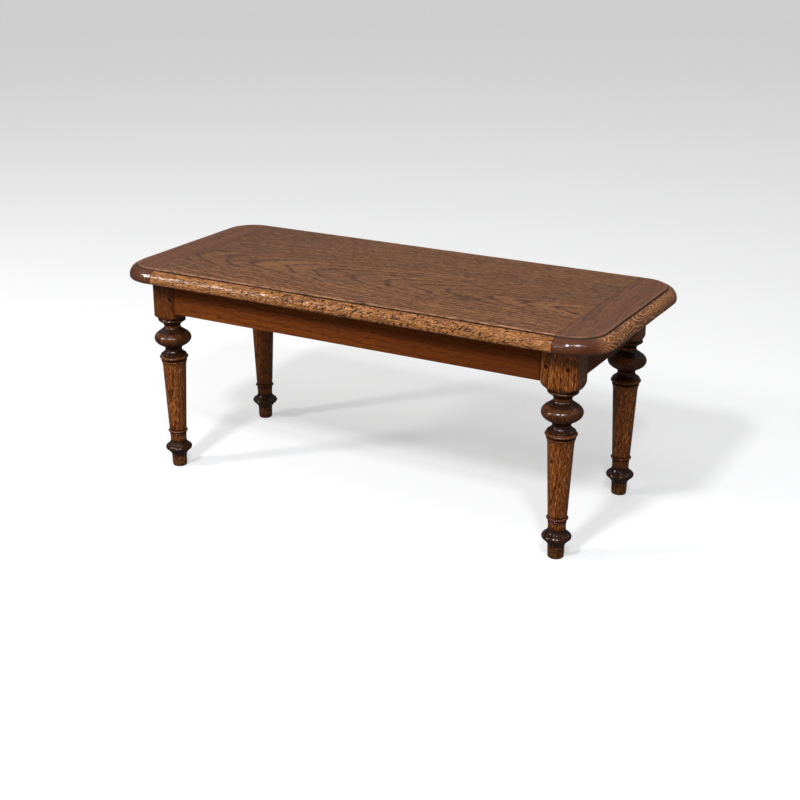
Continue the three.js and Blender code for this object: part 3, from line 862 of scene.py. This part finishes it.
def softened_block(name, low, high, steps, round_off):
    """A planed length of wood along X or Y: a box with rounded arrises, stepped along its length."""
    size = [high[i] - low[i] for i in range(3)]
    along = 0 if size[0] > size[1] else 1
    across = 1 - along
    section = []
    for corner, (u, v) in enumerate(((1, 1), (0, 1), (0, 0), (1, 0))):
        for angle in np.radians(np.linspace(0, 90, 5) + 90 * corner):
            centre_u = high[across] - round_off if u else low[across] + round_off
            centre_v = high[2] - round_off if v else low[2] + round_off
            section.append((centre_u + round_off * math.cos(angle), centre_v + round_off * math.sin(angle)))
    vertices = []
    for station in np.linspace(low[along], high[along], steps):
        for u, v in section:
            bend = 0.08 * MM * wander(station, u, v, 0.03, 8)
            point = [0.0, 0.0, v + (bend if v < low[2] + 1 * MM else 0)]
            point[along] = station
            point[across] = u
            vertices.append(point)
    return build_mesh(name, vertices, tube_faces(steps, len(section)))


def rail_finish(name, along, shift, heart):
    material, tree, shader = new_finish(name, 0.15)
    figure = oak_figure(tree, along, heart=heart, ring=2.6, lean=0.03, wobble=8, shift=shift)
    grain = figure["grain"]
    wood = board_colours(tree, figure, (0.25, 0.065, 0.0095), (0.145, 0.032, 0.004),
                         (0.09, 0.018, 0.002), (0.065, 0.014, 0.002), 0.35)
    blotch = clouds(tree, stretched(tree, grain, (0.012, 0.05, 0.05), (4, 2, 0)), 3.0, 0.55)
    wood = tint(tree, wood, between(tree, blotch, 0.4, 0.7), 0.5, (0.15, 0.034, 0.006))
    # Painted shade: darker towards the right, and over the whole right end rail, where less light falls.
    shade_to_right = between(tree, axes(tree, own_place(tree))[0], -0.06, 0.13)
    wood = tint(tree, wood, shade_to_right, 0.42, (0.075, 0.013, 0.0012))
    coat(tree, shader, wood, plus(tree, 0.34, times(tree, blotch, 0.2)))
    sunk = plus(tree, times(tree, figure["pores"], 0.4), times(tree, figure["early"], 0.15))
    relief(tree, shader, times(tree, sunk, -1.0), 0.2)
    return material


def make_rail(name, node, along, heart, shift):
    low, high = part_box(node)
    way = 0 if along == "x" else 1
    shoulders = {
        "front_rail": (-LEG_X + HEAD_HALF, LEG_X - WIDE_HEAD_HALF),
        "back_rail": (-LEG_X + HEAD_HALF, LEG_X - HEAD_HALF),
        "left_end_rail": (-LEG_Y + HEAD_HALF, LEG_Y - HEAD_HALF),
        "right_end_rail": (-LEG_Y + HEAD_HALF, LEG_Y - HEAD_HALF),
    }[node]
    body_low, body_high = list(low), list(high)
    body_low[way] = shoulders[0] + SHOULDER_GAP
    body_high[way] = shoulders[1] - SHOULDER_GAP
    piece = softened_block(name, body_low, body_high, 140 if along == "x" else 60, 0.5 * MM)
    line = (low[1 - way] + high[1 - way]) / 2
    tenon_low, tenon_high = list(low), list(high)
    tenon_low[1 - way], tenon_high[1 - way] = line - TENON_HALF, line + TENON_HALF
    tenon_low[2], tenon_high[2] = TENON_LOW, TENON_HIGH
    combine(piece, "UNION", [box_mesh("tenon", tenon_low, tenon_high)])
    piece.data.materials.clear()
    piece.data.materials.append(rail_finish(name.replace("_", " "), along, shift, heart))
    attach(piece, "root")
    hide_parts(node)


make_rail("front_rail_oak", "front_rail", "x", (-150, 120), (60, 0, 0))
make_rail("back_rail_oak", "back_rail", "x", (150, 110), (-260, 0, 0))
make_rail("left_end_rail_oak", "left_end_rail", "y", (260, 120), (90, 0, 0))
make_rail("right_end_rail_oak", "right_end_rail", "y", (-260, 120), (-140, 0, 0))


# ---------------------------------------------------------------- the pegs
# Whittled oak pins driven through the leg heads and the long rails' tenons, then cut flush.
# Their end grain has drunk the polish and stands nearly black.


def peg_tree():
    """Sets one whittled peg on every point, each turned a little differently about its length."""
    inputs = (("Peg", "Object"), ("Seed", "Int"), ("Finish", "Material"))
    tree, given, made = shaping_tree("set the pegs", inputs)
    link = tree.links.new
    peg = add_node(tree, "GeometryNodeObjectInfo", transform_space="ORIGINAL")
    link(given.outputs["Peg"], peg.inputs["Object"])
    turn = add_node(tree, "FunctionNodeRandomValue", data_type="FLOAT")
    for socket in turn.inputs:
        if socket.type == "VALUE" and socket.name == "Max":
            socket.default_value = math.pi
    link(given.outputs["Seed"], turn.inputs["Seed"])
    facing = add_node(tree, "GeometryNodeInputNamedAttribute", data_type="FLOAT")
    facing.inputs["Name"].default_value = "facing"
    spin = add_node(tree, "ShaderNodeCombineXYZ")
    link([s for s in turn.outputs if s.type == "VALUE"][0], spin.inputs[1])
    link(facing.outputs["Attribute"], spin.inputs[2])
    rotation = add_node(tree, "FunctionNodeEulerToRotation")
    link(spin.outputs[0], rotation.inputs[0])
    put = add_node(tree, "GeometryNodeInstanceOnPoints")
    link(given.outputs["Geometry"], put.inputs["Points"])
    link(peg.outputs["Geometry"], put.inputs["Instance"])
    link(rotation.outputs[0], put.inputs["Rotation"])
    return painted(tree, given, made, put.outputs[0])


peg_rings = ((0, 0.3, 0), (0.01, 0.62, 0.1), (0.04, 0.9, 0.9), (0.14, 0.99, 1), (0.5, 1, 1), (10, 0.93, 1))
pattern_peg = peg_shape("peg_pattern", PEG_RADIUS, PEG_LENGTH, 0, 0, -1, 0, peg_rings)
points, facings = [], []
for name, (side_x, side_y, _) in LEGS.items():
    for offset in PEG_HOLES[name]:
        points.append((side_x * LEG_X + offset * MM, side_y * (LEG_Y + HEAD_HALF - 0.03 * MM), PEG_HEIGHT))
        facings.append(0.0 if side_y < 0 else math.pi)
holes = bpy.data.meshes.new("leg_pegs")
holes.from_pydata(points, [], [])
layer = holes.attributes.new("facing", "FLOAT", "POINT")
layer.data.foreach_set("value", facings)
pegs = bpy.data.objects.new("leg_pegs", holes)
bpy.context.scene.collection.objects.link(pegs)
grown(pegs, peg_tree(), {"Peg": pattern_peg, "Seed": 4, "Finish": peg_oak})
bpy.data.objects.remove(pattern_peg)
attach(pegs, "root")
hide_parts("front_left_peg", "front_right_inner_peg", "front_right_outer_peg",
            "back_left_peg", "back_right_peg")


# ---------------------------------------------------------------- the glue blocks
# Short three-cornered softwood blocks, rubbed into the angle between the rails and the top
# with hot glue. They are sawn, not planed, and nobody sees them unless the table is upside down.


def glue_block_finish():
    material, tree, shader = new_finish("old bare softwood", 0.2)
    grain = stretched(tree, own_place(tree), (1000, 1000, 1000))
    streaks = clouds(tree, stretched(tree, grain, (0.08, 0.35, 1.3)), 4.0, 0.6)
    wood = mixed(tree, between(tree, streaks, 0.35, 0.65), (0.42, 0.25, 0.11), (0.24, 0.12, 0.05))
    coat(tree, shader, wood, plus(tree, 0.7, times(tree, streaks, 0.2)))
    relief(tree, shader, streaks, 0.3)
    return material


def make_glue_block(name, node, along, inward):
    """A block with its square corner in the angle and its third side cut across."""
    low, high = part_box(node)
    way = 0 if along == "x" else 1
    across = 1 - way
    inner = low[across] if inward > 0 else high[across]
    side = high[2] - low[2]
    outline = [(0, 0), (0, 1), (0.19, 1), (1, 0.19), (1, 0)]
    vertices = []
    steps = 24
    for station in np.linspace(low[way], high[way], steps):
        for u, v in outline:
            rough = 0.12 * MM * wander(station, u * side, v * side, 0.004, 9) if u > 0 and v > 0 else 0
            point = [0.0, 0.0, high[2] - v * side + rough]
            point[way] = station
            point[across] = inner + inward * (u * side - rough)
            vertices.append(point)
    return build_mesh(name, vertices, tube_faces(steps, len(outline)))


block_finish = glue_block_finish()
for node, along, inward in (("front_left_glue_block", "x", 1), ("front_right_glue_block", "x", 1),
                            ("back_left_glue_block", "x", -1), ("back_right_glue_block", "x", -1),
                            ("left_end_glue_block", "y", 1), ("right_end_glue_block", "y", -1)):
    piece = make_glue_block(node + "_pine", node, along, inward)
    piece.data.materials.append(block_finish)
    for face in piece.data.polygons:
        face.use_smooth = False
    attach(piece, "root")
    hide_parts(node)


# ---------------------------------------------------------------- the studio
# A pale floor that sweeps up into a backdrop all round, a broad light overhead, a low fill in
# front, and three small windows at the left, in front and at the right.

FLOOR_RADIUS = 4.0
SWEEP = 3.0
BACKDROP_TOP = 7.0
FLOOR_TURNS = 64


def studio_floor():
    """A flat round floor that sweeps up into a backdrop on every side."""
    profile = [(FLOOR_RADIUS * share, 0.0) for share in (0.02, 0.25, 0.5, 1.0)]
    for angle in np.radians(np.linspace(-90, 0, 19)[1:]):
        profile.append((FLOOR_RADIUS + SWEEP * math.cos(angle), SWEEP + SWEEP * math.sin(angle)))
    profile.append((FLOOR_RADIUS + SWEEP, BACKDROP_TOP))
    turns = [2 * math.pi * k / FLOOR_TURNS for k in range(FLOOR_TURNS)]
    vertices = [(r * math.cos(a), r * math.sin(a), z) for r, z in profile for a in turns]
    faces = []
    for row in range(len(profile) - 1):
        low, high = row * FLOOR_TURNS, (row + 1) * FLOOR_TURNS
        for k in range(FLOOR_TURNS):
            after = (k + 1) % FLOOR_TURNS
            faces.append((low + k, low + after, high + after, high + k))
    faces.append(tuple(range(FLOOR_TURNS)))
    floor = build_mesh("studio_floor", vertices, faces)
    material, _, shader = new_finish("pale studio floor", 0.0)
    shader.inputs["Base Color"].default_value = (0.66, 0.66, 0.66, 1)
    shader.inputs["Roughness"].default_value = 0.9
    shader.inputs["Emission Color"].default_value = (1, 1, 1, 1)
    shader.inputs["Emission Strength"].default_value = 0.42
    floor.data.materials.append(material)
    floor.visible_glossy = False
    floor.visible_diffuse = False
    floor.visible_shadow = False


def window_light(name, azimuth, elevation, distance, size, power, colour):
    """A soft rectangular light that looks at the table; azimuth 0 is in front, 90 to the right."""
    data = bpy.data.lights.new(name, "AREA")
    data.shape = "RECTANGLE"
    data.size, data.size_y = size
    data.energy = power
    data.color = colour
    a, e = math.radians(azimuth), math.radians(elevation)
    away = Vector((math.sin(a) * math.cos(e), -math.cos(a) * math.cos(e), math.sin(e)))
    lamp = bpy.data.objects.new(name, data)
    lamp.location = away * distance + Vector((0, 0, 0.12))
    lamp.rotation_euler = away.to_track_quat("Z", "Y").to_euler()
    bpy.context.scene.collection.objects.link(lamp)
    return lamp


studio_floor()
window_light("left_window", -47, 28, 1.5, (0.12, 0.16), 7.5, (1.0, 0.99, 0.98))
window_light("front_window", 2, 44, 2.0, (0.18, 0.20), 20, (0.97, 0.98, 1.0))
window_light("right_window", 34, 46, 2.0, (0.15, 0.18), 11, (0.93, 0.96, 1.0))
overhead = window_light("overhead", 0, 84, 2.6, (1.8, 1.8), 10.5, (1.0, 1.0, 1.0))
front_fill = window_light("front_fill", 30, 8, 2.4, (1.2, 0.7), 10, (1.0, 0.99, 0.97))
for broad_light in (overhead, front_fill):
    broad_light.visible_glossy = False

world = bpy.data.worlds.new("studio")
world.use_nodes = True
sky_tree = world.node_tree
sky = sky_tree.nodes["Background"]
way = axes(sky_tree, sky_tree.nodes.new("ShaderNodeTexCoord").outputs["Generated"])
room = mixed(sky_tree, between(sky_tree, way[2], 0.1, 0.85), (0.30, 0.30, 0.30), (1.0, 1.0, 1.0))
sky_tree.links.new(room, sky.inputs["Color"])
sky.inputs["Strength"].default_value = 0.31
bpy.context.scene.world = world
bpy.context.scene.view_settings.view_transform = "Standard"

CAMERA_AT = (0.5556, -0.9912, 0.5027)
CAMERA_AZIMUTH, CAMERA_TILT, CAMERA_ROLL = 30.518, 20.424, 0.304
camera_data = bpy.data.cameras.new("camera")
camera_data.sensor_width = 36.0
camera_data.lens = 62.24
camera_data.shift_x = 0.0429
camera_data.shift_y = -0.0065
camera_data.clip_end = 100
camera = bpy.data.objects.new("camera", camera_data)
turn = (Matrix.Rotation(math.radians(CAMERA_AZIMUTH), 4, "Z")
        @ Matrix.Rotation(math.radians(90 - CAMERA_TILT), 4, "X")
        @ Matrix.Rotation(math.radians(-CAMERA_ROLL), 4, "Z"))
camera.matrix_world = Matrix.Translation(CAMERA_AT) @ turn
bpy.context.scene.collection.objects.link(camera)
bpy.context.scene.camera = camera
